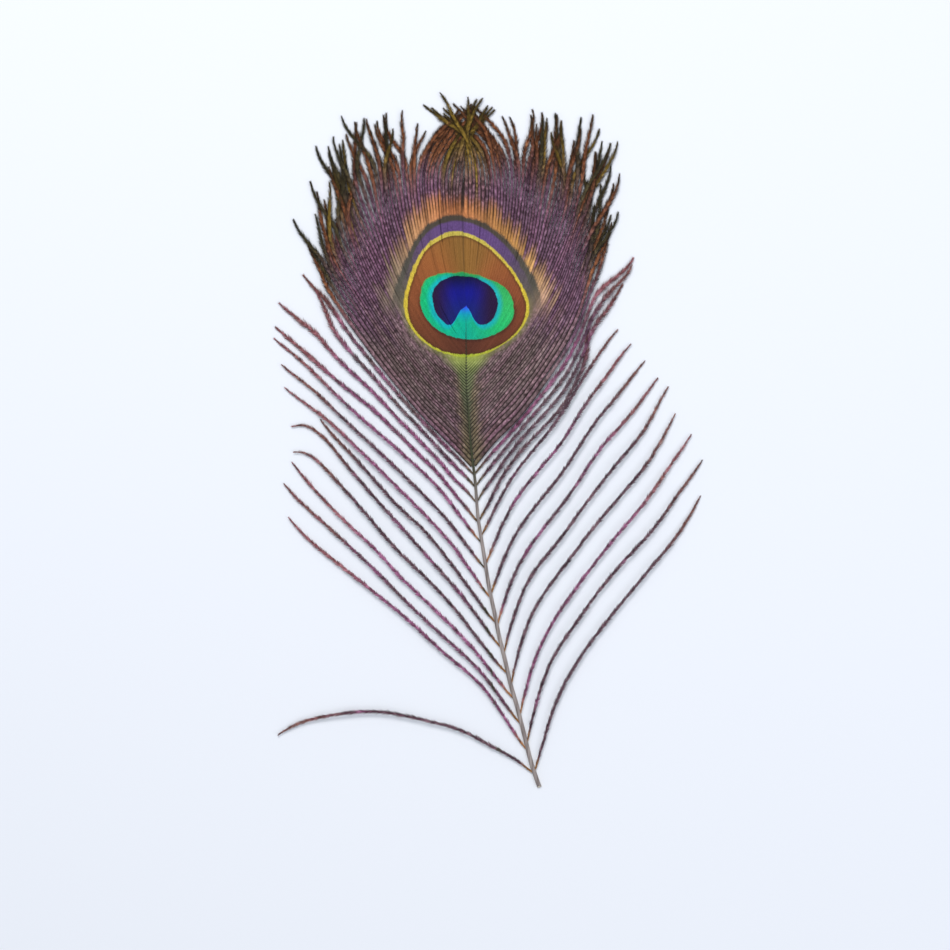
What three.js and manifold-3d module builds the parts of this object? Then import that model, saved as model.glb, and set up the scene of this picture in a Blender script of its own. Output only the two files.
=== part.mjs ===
// Peacock eye feather, cut short, lying on a surface with its face up.
//
// Millimetres, +Z up, +Y towards the plume at the top of the feather, +X to
// the right as the face is looked at. The origin is on the resting surface,
// under the middle of the feather's outline. The feather lies flat, so every
// piece has its underside at Z = 0.
//
// The barbs of each side of the shaft are given as the solid that just holds
// them: from the shaft out to their tips, and up to the crest of their arch.

import * as THREE from 'three';
import Module from 'manifold-3d';
import { mergeVertices } from 'three/addons/utils/BufferGeometryUtils.js';

const wasm = await Module();
wasm.setup();

// ---- driving dimensions --------------------------------------------------

const JOINT_GAP = 0.3;        // between the shaft and each vane
const MIDLINE_GAP = 0.36;     // between the two vanes above the shaft's end
const SHAFT_HEIGHT = 0.94;    // shaft height, as a share of its width
const SHAFT_SIDES = 12;

const VANE_ROOT_HEIGHT = 1.3; // vane height where it meets the shaft
const VANE_CREST_HEIGHT = 2.1; // vane height at the crest of the barbs' arch
const VANE_TIP_HEIGHT = 1.1;  // vane height at the barbs' tips
const VANE_STEPS = 11;        // points along each barb line
const TIP_NOTCH = 4.5;        // depth of the notches between tips

const STRAY_WIDTH = 2.6;      // the lowest barb on the left, which strays from
const STRAY_HEIGHT = 1.7;     // the others in a long bow
const STRAY_STEPS = 22;

// Centre line of the shaft and its width, from the end of the rachis, in the
// notch of the eye, down to the cut end.
const SHAFT_LINE = [
  [-8.7, 55.0, 0.24], [-8.9, 42.6, 0.29], [-8.7, 35.8, 0.34], [-8.6, 25.0, 0.44],
  [-8.0, 16.6, 0.60], [-7.2, 3.4, 0.84], [-6.2, -6.6, 1.04], [-5.1, -15.8, 1.16],
  [-3.9, -30.2, 1.30], [-2.6, -38.6, 1.38], [-1.0, -48.6, 1.48], [0.7, -59.0, 1.54],
  [2.6, -67.8, 1.58], [4.6, -77.8, 1.60], [6.8, -86.6, 1.64], [9.0, -96.2, 1.66],
  [11.1, -103.4, 1.68], [13.2, -111.4, 1.70], [15.2, -119.4, 1.72], [17.2, -127.4, 1.74],
  [20.5, -137.1, 1.76],
];

// Barb lines that sweep up through the eye into the plume, each a cubic
// Bezier curve from the shaft to its tip, from the midline outwards.
const LEFT_EYE = [
  [[-8.7, 55.0], [-10.0, 69.4], [-12.4, 101.4], [-10.0, 137.4]],
  [[-8.8, 49.4], [-14.0, 63.0], [-21.6, 95.4], [-16.4, 136.2]],
  [[-8.9, 43.8], [-18.0, 55.8], [-29.2, 90.2], [-25.6, 134.6]],
  [[-8.8, 37.4], [-23.2, 51.4], [-36.4, 88.6], [-36.0, 134.2]],
  [[-8.7, 31.0], [-28.0, 48.6], [-43.2, 84.6], [-45.6, 132.2]],
  [[-8.6, 24.6], [-31.2, 45.4], [-48.4, 79.4], [-54.8, 129.0]],
  [[-8.1, 17.4], [-33.2, 40.6], [-52.8, 72.6], [-62.0, 124.2]],
  [[-7.6, 9.4], [-34.4, 35.0], [-55.2, 64.6], [-66.4, 113.4]],
  [[-7.0, 1.4], [-34.4, 28.6], [-56.4, 56.6], [-70.4, 102.2]],
  [[-6.2, -6.6], [-33.6, 21.4], [-57.2, 46.2], [-74.0, 88.6]],
  [[-5.1, -15.8], [-30.8, 11.0], [-56.8, 35.8], [-78.4, 72.6]],
  [[-4.2, -27.4], [-27.2, -1.0], [-54.4, 23.8], [-83.2, 51.8]],
];
const RIGHT_EYE = [
  [[-8.7, 55.0], [-10.0, 69.4], [-12.4, 101.4], [-10.0, 137.4]],
  [[-8.8, 49.4], [-4.8, 63.0], [2.4, 95.4], [-3.2, 136.2]],
  [[-8.9, 43.8], [-0.4, 55.8], [11.6, 90.2], [6.8, 134.6]],
  [[-8.8, 37.4], [4.8, 51.4], [19.6, 88.6], [16.8, 133.8]],
  [[-8.7, 31.0], [10.0, 48.6], [26.0, 84.6], [26.0, 132.6]],
  [[-8.6, 24.6], [13.6, 45.4], [31.2, 79.4], [34.8, 131.0]],
  [[-8.1, 17.4], [15.6, 40.6], [36.0, 72.6], [41.6, 127.8]],
  [[-7.6, 9.4], [17.2, 35.0], [39.6, 64.6], [44.8, 117.4]],
  [[-7.0, 1.4], [18.0, 28.6], [41.6, 56.6], [46.0, 104.6]],
  [[-6.2, -6.6], [18.0, 21.4], [42.4, 46.2], [48.0, 90.2]],
  [[-5.1, -15.8], [16.8, 11.0], [41.6, 35.8], [51.6, 74.2]],
  [[-4.2, -27.4], [15.6, -1.0], [40.8, 23.8], [56.8, 57.8]],
];

// Loose barb lines below the eye, each a smooth curve through its points,
// from the shaft to its tip.
const LEFT_LOOSE = [
  [[-3.8, -39.4], [-14.4, -24.6], [-29.2, -9.0], [-46.4, 6.2], [-63.2, 22.2], [-76.4, 35.8], [-84.8, 43.8]],
  [[-2.0, -49.8], [-13.6, -34.2], [-28.0, -18.6], [-44.0, -3.4], [-60.0, 12.2], [-73.2, 26.2], [-82.0, 34.6]],
  [[0.1, -61.4], [-12.0, -43.8], [-25.6, -28.2], [-40.8, -13.4], [-56.0, 1.4], [-69.2, 15.0], [-80.6, 25.8]],
  [[2.1, -71.4], [-10.8, -53.4], [-24.0, -37.0], [-37.6, -23.4], [-52.0, -8.2], [-66.4, 4.6], [-80.2, 16.2]],
  [[4.4, -81.4], [-8.8, -63.4], [-22.8, -47.0], [-36.0, -32.2], [-48.8, -18.2], [-62.2, -5.6], [-71.4, 3.0], [-80.6, 8.2]],
  [[6.9, -91.8], [-5.6, -76.2], [-19.2, -59.8], [-33.2, -45.4], [-47.2, -30.6], [-60.4, -17.0], [-70.4, -7.4], [-80.4, -1.0]],
  [[9.3, -101.8], [-2.4, -86.6], [-16.0, -71.8], [-30.8, -57.0], [-45.2, -42.6], [-58.4, -29.4], [-70.0, -17.6], [-80.6, -8.6]],
  [[11.9, -111.8], [0.8, -96.2], [-12.8, -81.8], [-27.2, -67.8], [-41.2, -54.2], [-55.2, -41.0], [-67.2, -29.8], [-76.0, -21.0], [-82.2, -15.6]],
  [[14.4, -122.2], [4.8, -107.0], [-7.2, -92.6], [-20.8, -79.8], [-34.4, -67.8], [-48.8, -56.6], [-62.0, -46.2], [-72.8, -37.0], [-81.4, -29.2]],
];
const RIGHT_LOOSE = [
  [[-2.2, -36.6], [4.8, -22.6], [13.6, -9.0], [24.8, 6.2], [36.0, 22.2], [46.0, 35.8], [58.4, 50.6]],
  [[-0.7, -47.8], [6.0, -32.2], [15.2, -17.4], [26.8, -2.2], [39.2, 14.2], [50.0, 28.6], [62.0, 43.0]],
  [[1.2, -59.8], [7.6, -43.4], [16.8, -27.8], [28.8, -12.2], [42.0, 5.4], [53.6, 20.6], [65.6, 35.4]],
  [[3.7, -72.2], [9.2, -55.8], [18.0, -39.4], [30.4, -22.6], [44.4, -4.6], [57.6, 12.6], [69.6, 28.6]],
  [[6.3, -83.4], [10.8, -67.4], [19.2, -50.2], [31.6, -33.4], [46.8, -14.6], [60.8, 4.2], [72.8, 23.0]],
  [[9.2, -95.8], [13.6, -78.6], [21.2, -61.8], [33.2, -44.6], [49.6, -25.4], [64.0, -6.2], [75.6, 13.8]],
  [[12.6, -108.2], [16.8, -92.2], [24.0, -74.6], [35.6, -56.2], [52.0, -37.0], [66.8, -17.8], [80.8, 4.6]],
  [[15.5, -119.4], [19.2, -103.8], [26.0, -85.8], [37.6, -67.4], [53.6, -48.2], [68.8, -30.2], [80.0, -14.6], [86.2, -5.0]],
  [[18.8, -130.6], [22.8, -116.6], [28.8, -99.4], [40.0, -80.6], [54.4, -62.6], [68.8, -45.4], [80.0, -30.6], [86.2, -20.2]],
];
const LEFT_STRAY = [
  [17.0, -131.4], [9.6, -125.4], [-2.0, -119.6], [-13.3, -114.0], [-25.0, -109.8],
  [-38.4, -107.0], [-52.4, -106.6], [-65.2, -109.0], [-76.0, -113.4], [-85.9, -119.8],
];

const HORN = { color: 0x8b8077, roughness: 0.5, metalness: 0.0 };
const BARBS = { color: 0x5b4238, roughness: 0.7, metalness: 0.0 };

// ---- helpers -------------------------------------------------------------

const at = (p) => new THREE.Vector2(p[0], p[1]);

// Shaft centre and half width at a height along the feather.
function shaftAt(y) {
  let i = 1;
  while (i < SHAFT_LINE.length - 1 && SHAFT_LINE[i][1] > y) i += 1;
  const [a, b] = [SHAFT_LINE[i - 1], SHAFT_LINE[i]];
  const s = THREE.MathUtils.clamp((y - a[1]) / (b[1] - a[1]), 0, 1);
  return { x: a[0] + (b[0] - a[0]) * s, half: (a[2] + (b[2] - a[2]) * s) / 2 };
}

function polyline(curve, steps) {
  return curve.getSpacedPoints(steps);
}

function halfway(a, b) {
  return a.map((p, i) => p.clone().lerp(b[i], 0.5));
}

function closedGeometry(positions, triangles) {
  const geometry = new THREE.BufferGeometry();
  geometry.setAttribute('position', new THREE.Float32BufferAttribute(positions, 3));
  geometry.setIndex(triangles);
  geometry.computeVertexNormals();
  return geometry;
}

function toManifold(geometry) {
  const bare = geometry.clone();
  bare.deleteAttribute('normal');
  bare.deleteAttribute('uv');
  const merged = mergeVertices(bare, 1e-4);
  return new wasm.Manifold(new wasm.Mesh({
    numProp: 3,
    vertProperties: new Float32Array(merged.attributes.position.array),
    triVerts: new Uint32Array(merged.index.array),
  }));
}

function fromManifold(solid) {
  const mesh = solid.getMesh();
  const positions = [];
  for (let i = 0; i < mesh.numVert; i += 1) {
    positions.push(...mesh.vertProperties.slice(i * mesh.numProp, i * mesh.numProp + 3));
  }
  return closedGeometry(positions, Array.from(mesh.triVerts));
}

// A slab on the resting surface under a grid of points: rows[i][j] with its
// height. The underside is flat, with the same grid.
function slab(rows, height) {
  const [n, m] = [rows.length, rows[0].length];
  const positions = [];
  rows.forEach((row, i) => row.forEach((p, j) => positions.push(p.x, p.y, height(i, j))));
  rows.forEach((row) => row.forEach((p) => positions.push(p.x, p.y, 0)));
  const top = (i, j) => i * m + j;
  const under = (i, j) => (n + i) * m + j;
  const outline = [];
  for (let i = 0; i < n; i += 1) outline.push([i, m - 1]);
  for (let j = m - 2; j >= 0; j -= 1) outline.push([n - 1, j]);
  for (let i = n - 2; i >= 0; i -= 1) outline.push([i, 0]);
  for (let j = 1; j < m - 1; j += 1) outline.push([0, j]);
  const clockwise = THREE.ShapeUtils.isClockWise(outline.map(([i, j]) => rows[i][j]));
  const triangles = [];
  const add = (a, b, c) => triangles.push(...(clockwise ? [a, c, b] : [a, b, c]));
  for (let i = 0; i < n - 1; i += 1) {
    for (let j = 0; j < m - 1; j += 1) {
      add(top(i, j), top(i, j + 1), top(i + 1, j + 1));
      add(top(i, j), top(i + 1, j + 1), top(i + 1, j));
      add(under(i, j), under(i + 1, j + 1), under(i, j + 1));
      add(under(i, j), under(i + 1, j), under(i + 1, j + 1));
    }
  }
  outline.forEach(([i, j], k) => {
    const [i2, j2] = outline[(k + 1) % outline.length];
    add(top(i, j), under(i, j), top(i2, j2));
    add(top(i2, j2), under(i, j), under(i2, j2));
  });
  return closedGeometry(positions, triangles);
}

// ---- shaft ---------------------------------------------------------------

// A rounded bar with a flat underside that tapers from the cut end to the eye.
function makeShaft() {
  const centre = new THREE.SplineCurve(SHAFT_LINE.map(at)).getPoints(SHAFT_LINE.length * 2);
  const positions = [];
  const triangles = [];
  const sides = SHAFT_SIDES;
  centre.forEach((c, i) => {
    const along = centre[Math.min(i + 1, centre.length - 1)].clone()
      .sub(centre[Math.max(i - 1, 0)]).normalize();
    const across = new THREE.Vector2(-along.y, along.x);
    const { half } = shaftAt(c.y);
    const tall = 2 * half * SHAFT_HEIGHT;
    for (let k = 0; k < sides; k += 1) {
      const angle = (2 * Math.PI * (k + 0.5)) / sides;
      const side = half * Math.cos(angle) * 1.02;
      const z = Math.max(0, tall * (0.46 + 0.56 * Math.sin(angle)));
      positions.push(c.x + across.x * side, c.y + across.y * side, z);
    }
  });
  const ring = (i, k) => i * sides + (k % sides);
  for (let i = 0; i < centre.length - 1; i += 1) {
    for (let k = 0; k < sides; k += 1) {
      triangles.push(ring(i, k), ring(i + 1, k + 1), ring(i + 1, k));
      triangles.push(ring(i, k), ring(i, k + 1), ring(i + 1, k + 1));
    }
  }
  const last = centre.length - 1;
  for (let k = 1; k < sides - 1; k += 1) {
    triangles.push(ring(0, 0), ring(0, k + 1), ring(0, k));
    triangles.push(ring(last, 0), ring(last, k), ring(last, k + 1));
  }
  return closedGeometry(positions, triangles);
}

// ---- vanes ---------------------------------------------------------------

function vaneRows(eye, loose, side) {
  const lines = eye.map((b) => polyline(new THREE.CubicBezierCurve(...b.map(at)), VANE_STEPS));
  loose.forEach((pts) => lines.push(polyline(new THREE.SplineCurve(pts.map(at)), VANE_STEPS)));
  const rows = [];
  lines.forEach((line, i) => {
    rows.push(line);
    if (i < lines.length - 1) rows.push(halfway(line, lines[i + 1]));
  });
  rows.forEach((row, i) => {
    const root = row[0];
    const shaft = shaftAt(root.y);
    const clear = shaft.half * 1.02 + JOINT_GAP + 0.06;
    row[0] = new THREE.Vector2(shaft.x + side * clear, root.y);
    if (i === 0) {
      row.forEach((p, j) => { if (j > 0) p.x += (side * MIDLINE_GAP) / 2; });
      row[0].y += 0.4;
    } else if (i % 2 === 1) {
      const back = row[VANE_STEPS - 1].clone().sub(row[VANE_STEPS]).setLength(TIP_NOTCH);
      row[VANE_STEPS].add(back);
    }
  });
  return rows;
}

function makeVane(eye, loose, side) {
  const rows = vaneRows(eye, loose, side);
  return slab(rows, (i, j) => {
    const t = j / VANE_STEPS;
    const base = THREE.MathUtils.lerp(VANE_ROOT_HEIGHT, VANE_TIP_HEIGHT, t);
    const crest = VANE_CREST_HEIGHT - (VANE_ROOT_HEIGHT + VANE_TIP_HEIGHT) / 2;
    return base + crest * Math.sin(Math.PI * Math.min(1, t * 1.02)) ** 1.2;
  });
}

// The stray barb's strip starts inside the vane, clear of the shaft.
function makeStray() {
  const line = polyline(new THREE.SplineCurve(LEFT_STRAY.map(at)), STRAY_STEPS);
  const rows = line.map((p, i) => {
    const along = line[Math.min(i + 1, STRAY_STEPS)].clone()
      .sub(line[Math.max(i - 1, 0)]).normalize();
    const across = new THREE.Vector2(-along.y, along.x);
    const half = (STRAY_WIDTH / 2) * (i === STRAY_STEPS ? 0.35 : 1);
    return [-1, 1].map((s) => p.clone().addScaledVector(across, s * half));
  });
  rows.shift();
  return slab(rows, (i) => STRAY_HEIGHT - (i / STRAY_STEPS) * 0.8);
}

// ---- the feather ---------------------------------------------------------

const shaftMesh = new THREE.Mesh(makeShaft(), new THREE.MeshStandardMaterial(HORN));
shaftMesh.name = 'shaft';

// The root of the stray barb joins the rest of the left vane through a short
// web of barbs along the shaft.
const webPoints = [[12.0, -115.6], [13.6, -120.6], [15.8, -130.2], [9.6, -125.4], [3.0, -122.1],
  [6.8, -119.8], [8.4, -116.8], [8.6, -113.0]];
const webShape = new THREE.Shape(webPoints.map((p) => {
  const shaft = shaftAt(p[1]);
  const limit = shaft.x - shaft.half * 1.02 - JOINT_GAP - 0.1;
  return new THREE.Vector2(Math.min(p[0], limit), p[1]);
}));
const web = new THREE.ExtrudeGeometry(webShape, { depth: VANE_ROOT_HEIGHT, bevelEnabled: false });

const leftSolid = toManifold(makeVane(LEFT_EYE, LEFT_LOOSE, -1))
  .add(toManifold(web)).add(toManifold(makeStray()));
const leftMesh = new THREE.Mesh(fromManifold(leftSolid), new THREE.MeshStandardMaterial(BARBS));
leftMesh.name = 'left_vane';

const rightMesh = new THREE.Mesh(makeVane(RIGHT_EYE, RIGHT_LOOSE, 1), new THREE.MeshStandardMaterial(BARBS));
rightMesh.name = 'right_vane';

const feather = new THREE.Group();
feather.name = 'peacock_feather';
feather.add(shaftMesh, leftMesh, rightMesh);

export default feather;
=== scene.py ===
"""Looks of a peacock eye feather lying face up: every barb is a tapering ramus with its own
barbules, all as joined mesh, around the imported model's shaft and two vanes."""
import json
import math

import bpy
import numpy as np
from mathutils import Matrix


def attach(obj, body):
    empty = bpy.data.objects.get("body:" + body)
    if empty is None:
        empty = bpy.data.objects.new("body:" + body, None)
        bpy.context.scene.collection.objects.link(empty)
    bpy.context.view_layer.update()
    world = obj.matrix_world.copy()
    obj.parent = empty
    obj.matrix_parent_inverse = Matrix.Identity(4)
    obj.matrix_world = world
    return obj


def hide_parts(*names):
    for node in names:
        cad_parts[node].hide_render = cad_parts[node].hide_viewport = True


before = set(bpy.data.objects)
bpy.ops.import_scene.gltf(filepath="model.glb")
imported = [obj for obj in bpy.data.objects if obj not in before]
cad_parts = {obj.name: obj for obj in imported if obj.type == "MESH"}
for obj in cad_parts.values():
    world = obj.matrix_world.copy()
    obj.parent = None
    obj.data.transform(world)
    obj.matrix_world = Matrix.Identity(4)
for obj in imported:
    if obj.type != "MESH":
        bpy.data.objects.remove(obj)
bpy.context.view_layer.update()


rng = np.random.default_rng(20260)
MM = 0.001

# ---------------------------------------------------------------- dimensions, in millimetres

EYE = (-8.83, 60.46)  # middle of the eye

# centre line of the shaft and its width
SHAFT_LINE = np.array([
    [-8.7, 55.0, 0.24], [-8.9, 42.6, 0.29], [-8.7, 35.8, 0.34], [-8.6, 25.0, 0.44],
    [-8.0, 16.6, 0.60], [-7.2, 3.4, 0.84], [-6.2, -6.6, 1.04], [-5.1, -15.8, 1.16],
    [-3.9, -30.2, 1.30], [-2.6, -38.6, 1.38], [-1.0, -48.6, 1.48], [0.7, -59.0, 1.54],
    [2.6, -67.8, 1.58], [4.6, -77.8, 1.60], [6.8, -86.6, 1.64], [9.0, -96.2, 1.66],
    [11.1, -103.4, 1.68], [13.2, -111.4, 1.70], [15.2, -119.4, 1.72], [17.2, -127.4, 1.74],
    [20.5, -137.1, 1.76],
])

# barb lines through the eye: cubic Bezier curves from the shaft to the tip, from the midline out
LEFT_EYE = [
    [[-8.7, 55.0], [-10.0, 69.4], [-12.4, 101.4], [-10.0, 137.4]],
    [[-8.8, 49.4], [-14.0, 63.0], [-21.6, 95.4], [-16.4, 136.2]],
    [[-8.9, 43.8], [-18.0, 55.8], [-29.2, 90.2], [-25.6, 134.6]],
    [[-8.8, 37.4], [-23.2, 51.4], [-36.4, 88.6], [-36.0, 134.2]],
    [[-8.7, 31.0], [-28.0, 48.6], [-43.2, 84.6], [-45.6, 132.2]],
    [[-8.6, 24.6], [-31.2, 45.4], [-48.4, 79.4], [-54.8, 129.0]],
    [[-8.1, 17.4], [-33.2, 40.6], [-52.8, 72.6], [-62.0, 124.2]],
    [[-7.6, 9.4], [-34.4, 35.0], [-55.2, 64.6], [-66.4, 113.4]],
    [[-7.0, 1.4], [-34.4, 28.6], [-56.4, 56.6], [-70.4, 102.2]],
    [[-6.2, -6.6], [-33.6, 21.4], [-57.2, 46.2], [-74.0, 88.6]],
    [[-5.1, -15.8], [-30.8, 11.0], [-56.8, 35.8], [-78.4, 72.6]],
    [[-4.2, -27.4], [-27.2, -1.0], [-54.4, 23.8], [-83.2, 51.8]],
]
RIGHT_EYE = [
    [[-8.7, 55.0], [-10.0, 69.4], [-12.4, 101.4], [-10.0, 137.4]],
    [[-8.8, 49.4], [-4.8, 63.0], [2.4, 95.4], [-3.2, 136.2]],
    [[-8.9, 43.8], [-0.4, 55.8], [11.6, 90.2], [6.8, 134.6]],
    [[-8.8, 37.4], [4.8, 51.4], [19.6, 88.6], [16.8, 133.8]],
    [[-8.7, 31.0], [10.0, 48.6], [26.0, 84.6], [26.0, 132.6]],
    [[-8.6, 24.6], [13.6, 45.4], [31.2, 79.4], [34.8, 131.0]],
    [[-8.1, 17.4], [15.6, 40.6], [36.0, 72.6], [41.6, 127.8]],
    [[-7.6, 9.4], [17.2, 35.0], [39.6, 64.6], [44.8, 117.4]],
    [[-7.0, 1.4], [18.0, 28.6], [41.6, 56.6], [46.0, 104.6]],
    [[-6.2, -6.6], [18.0, 21.4], [42.4, 46.2], [48.0, 90.2]],
    [[-5.1, -15.8], [16.8, 11.0], [41.6, 35.8], [51.6, 74.2]],
    [[-4.2, -27.4], [12.8, 1.4], [38.0, 26.4], [56.4, 60.6]],
]
# loose barb lines under the eye, each through its points from the shaft to its tip
LEFT_LOOSE = [
    [[-3.8, -39.4], [-14.4, -24.6], [-29.2, -9.0], [-46.4, 6.2], [-63.2, 22.2], [-76.4, 35.8], [-84.8, 43.8]],
    [[-2.0, -49.8], [-13.6, -34.2], [-28.0, -18.6], [-44.0, -3.4], [-60.0, 12.2], [-73.2, 26.2], [-82.0, 34.6]],
    [[0.1, -61.4], [-12.0, -43.8], [-25.6, -28.2], [-40.8, -13.4], [-56.0, 1.4], [-69.2, 15.0], [-80.6, 25.8]],
    [[2.1, -71.4], [-10.8, -53.4], [-24.0, -37.0], [-37.6, -23.4], [-52.0, -8.2], [-62.4, 4.6], [-67.6, 12.6]],
    [[4.4, -81.4], [-8.8, -63.4], [-22.8, -47.0], [-36.0, -32.2], [-48.8, -18.2], [-59.2, -4.6], [-66.4, 3.8], [-73.2, 7.4], [-80.0, 6.2]],
    [[6.9, -91.8], [-5.6, -76.2], [-19.2, -59.8], [-33.2, -45.4], [-47.2, -30.6], [-58.4, -17.0], [-66.4, -7.4], [-72.8, -3.0], [-80.0, -3.0]],
    [[9.3, -101.8], [-2.4, -86.6], [-16.0, -71.8], [-30.8, -57.0], [-45.2, -42.6], [-58.4, -29.4], [-68.0, -18.6], [-75.2, -9.8], [-79.2, -5.0]],
    [[11.9, -111.8], [0.8, -96.2], [-12.8, -81.8], [-27.2, -67.8], [-41.2, -54.2], [-55.2, -41.0], [-67.2, -29.8], [-76.0, -21.0], [-81.6, -14.6]],
    [[14.4, -122.2], [4.8, -107.0], [-7.2, -92.6], [-20.8, -79.8], [-34.4, -67.8], [-48.8, -56.6], [-62.0, -46.2], [-72.8, -37.0], [-80.4, -28.6]],
]
LEFT_STRAY = [[17.0, -131.4], [9.6, -125.4], [-2.0, -119.6], [-13.3, -114.0], [-25.0, -109.8],
              [-38.4, -107.0], [-52.4, -106.6], [-65.2, -109.0], [-76.0, -113.4], [-85.6, -119.4]]
RIGHT_LOOSE = [
    [[-2.2, -36.6], [4.8, -22.6], [13.6, -9.0], [24.8, 6.2], [36.0, 22.2], [46.0, 35.8], [54.4, 46.6]],
    [[-0.7, -47.8], [6.0, -32.2], [15.2, -17.4], [26.8, -2.2], [39.2, 14.2], [50.0, 28.6], [60.0, 40.6]],
    [[1.2, -59.8], [7.6, -43.4], [16.8, -27.8], [28.8, -12.2], [42.0, 5.4], [53.6, 20.6], [64.0, 33.4]],
    [[3.7, -72.2], [9.2, -55.8], [18.0, -39.4], [30.4, -22.6], [44.4, -4.6], [57.6, 12.6], [68.4, 26.6]],
    [[6.3, -83.4], [10.8, -67.4], [19.2, -50.2], [31.6, -33.4], [46.8, -14.6], [60.8, 4.2], [70.4, 20.2], [72.8, 23.8]],
    [[9.2, -95.8], [13.6, -78.6], [21.2, -61.8], [33.2, -44.6], [49.6, -25.4], [64.0, -6.2], [72.0, 7.8], [75.2, 14.2]],
    [[12.6, -108.2], [16.8, -92.2], [24.0, -74.6], [35.6, -56.2], [52.0, -37.0], [66.8, -17.8], [76.8, -2.6], [80.8, 4.6]],
    [[15.5, -119.4], [19.2, -103.8], [26.0, -85.8], [37.6, -67.4], [53.6, -48.2], [68.8, -30.2], [80.0, -14.6], [85.6, -5.0]],
    [[18.8, -130.6], [22.8, -116.6], [28.8, -99.4], [40.0, -80.6], [54.4, -62.6], [68.8, -45.4], [80.0, -30.6], [85.6, -20.2]],
]

# rings of the eye: (angle from straight up, clockwise, in degrees; radius in mm)
HEART = [(-180, 5.5), (-172, 6.3), (-166, 6.9), (-161, 9.3), (-158, 12.9), (-155, 14.6), (-150, 15.0),
         (-140, 14.9), (-125, 14.7), (-110, 13.9), (-90, 13.3), (-70, 11.3), (-50, 9.1), (-30, 7.5),
         (-10, 6.4), (10, 6.4), (30, 6.8), (50, 7.5), (70, 9.2), (90, 11.5), (110, 13.5), (125, 14.6),
         (140, 15.3), (150, 14.9), (156, 14.3), (160, 13.1), (164, 11.0), (168, 7.6), (174, 6.3), (180, 5.5)]
GREEN = [(-180, 18.8), (-165, 18.7), (-150, 18.7), (-135, 18.9), (-120, 19.0), (-105, 18.8), (-90, 18.0),
         (-75, 17.2), (-60, 13.8), (-45, 11.1), (-30, 8.8), (-15, 8.3), (0, 7.9), (15, 7.6), (30, 8.1),
         (45, 9.0), (60, 10.4), (75, 13.6), (90, 17.1), (105, 19.7), (120, 21.3), (135, 21.1), (150, 20.2),
         (165, 19.4), (180, 18.8)]
BRONZE = [(-180, 24.9), (-165, 25.1), (-150, 25.3), (-135, 25.3), (-120, 25.2), (-105, 24.1), (-90, 22.7),
          (-75, 21.8), (-60, 21.9), (-45, 22.9), (-30, 23.1), (-15, 23.2), (0, 22.2), (15, 20.6), (30, 19.5),
          (45, 18.9), (60, 19.3), (75, 20.4), (90, 22.4), (105, 24.9), (120, 25.8), (135, 25.5), (150, 25.1),
          (165, 25.0), (180, 24.9)]
YELLOW = [(-180, 26.7), (-165, 26.7), (-150, 26.8), (-135, 26.9), (-120, 26.9), (-105, 26.2), (-90, 24.7),
          (-75, 23.8), (-60, 23.9), (-45, 24.7), (-30, 25.3), (-15, 25.3), (0, 24.2), (15, 22.5), (30, 21.2),
          (45, 20.5), (60, 20.8), (75, 22.0), (90, 24.2), (105, 26.7), (120, 27.4), (135, 26.7), (150, 26.3),
          (165, 26.5), (180, 26.7)]
PURPLE = [(-180, 28.1), (-165, 28.3), (-150, 28.5), (-135, 28.8), (-120, 28.8), (-105, 28.0), (-90, 26.4),
          (-75, 25.1), (-60, 25.3), (-45, 26.7), (-30, 28.3), (-15, 28.9), (0, 28.0), (15, 26.3), (30, 24.8),
          (45, 24.0), (60, 23.9), (75, 24.8), (90, 26.8), (105, 28.7), (120, 28.6), (135, 27.7), (150, 27.4),
          (165, 27.6), (180, 28.1)]
OLIVE = [(-180, 29.7), (-165, 30.0), (-150, 30.6), (-135, 31.2), (-120, 31.2), (-105, 30.4), (-90, 28.8),
         (-75, 27.6), (-60, 27.5), (-45, 29.1), (-30, 31.0), (-15, 31.4), (0, 30.2), (15, 28.7), (30, 27.1),
         (45, 26.3), (60, 26.4), (75, 27.5), (90, 29.4), (105, 30.9), (120, 30.6), (135, 29.7), (150, 29.2),
         (165, 29.4), (180, 29.7)]
FAN = [(-180, 30.6), (-165, 30.7), (-150, 31.3), (-135, 32.4), (-120, 33.5), (-105, 33.9), (-90, 33.9),
       (-75, 32.6), (-60, 32.5), (-45, 34.1), (-30, 36.7), (-15, 38.4), (0, 37.2), (15, 34.8), (30, 31.5),
       (45, 30.0), (60, 29.9), (75, 31.9), (90, 35.0), (105, 34.9), (120, 32.9), (135, 30.9), (150, 30.0),
       (165, 30.1), (180, 30.6)]

# places where neighbouring barbs have parted: (x, y, how far the slit runs each way, strength)
SLITS_LEFT = [(-19.6, 88.0, 11.0, 1.0), (-18.0, 74.0, 9.0, 0.5), (-16.3, 49.2, 9.0, 0.8), (-27.0, 80.0, 6.0, 0.6),
              (-33.5, 70.0, 6.0, 0.6), (-33.0, 49.0, 5.0, 0.5), (-13.4, 79.0, 9.0, 0.4), (-22.5, 76.0, 8.0, 0.35),
              (-15.8, 84.0, 7.0, 0.35)]
SLITS_RIGHT = [(-4.0, 80.0, 12.0, 0.65), (8.4, 86.0, 8.0, 1.0), (13.0, 78.0, 8.0, 1.0), (2.0, 90.0, 6.0, 0.7),
               (18.4, 70.0, 7.0, 0.6), (-7.4, 76.0, 8.0, 0.4), (0.2, 76.0, 8.0, 0.35), (5.6, 74.0, 7.0, 0.3)]
MIDLINE_SLIT = (80.0, 17.0)  # middle height and half length

APEX = (-8.4, 135.4)  # where the strands of the plume's arch meet

BARBULES_FREE = 6.8  # to a millimetre, on each side of a ramus
BARBULES_JOINED = 3.8  # the same inside the eye
BARBULE_WIDTH = 0.26
STEP = 0.8  # between the rings of a ramus
PATH_POINTS = 120

# ---------------------------------------------------------------- curves


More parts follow.
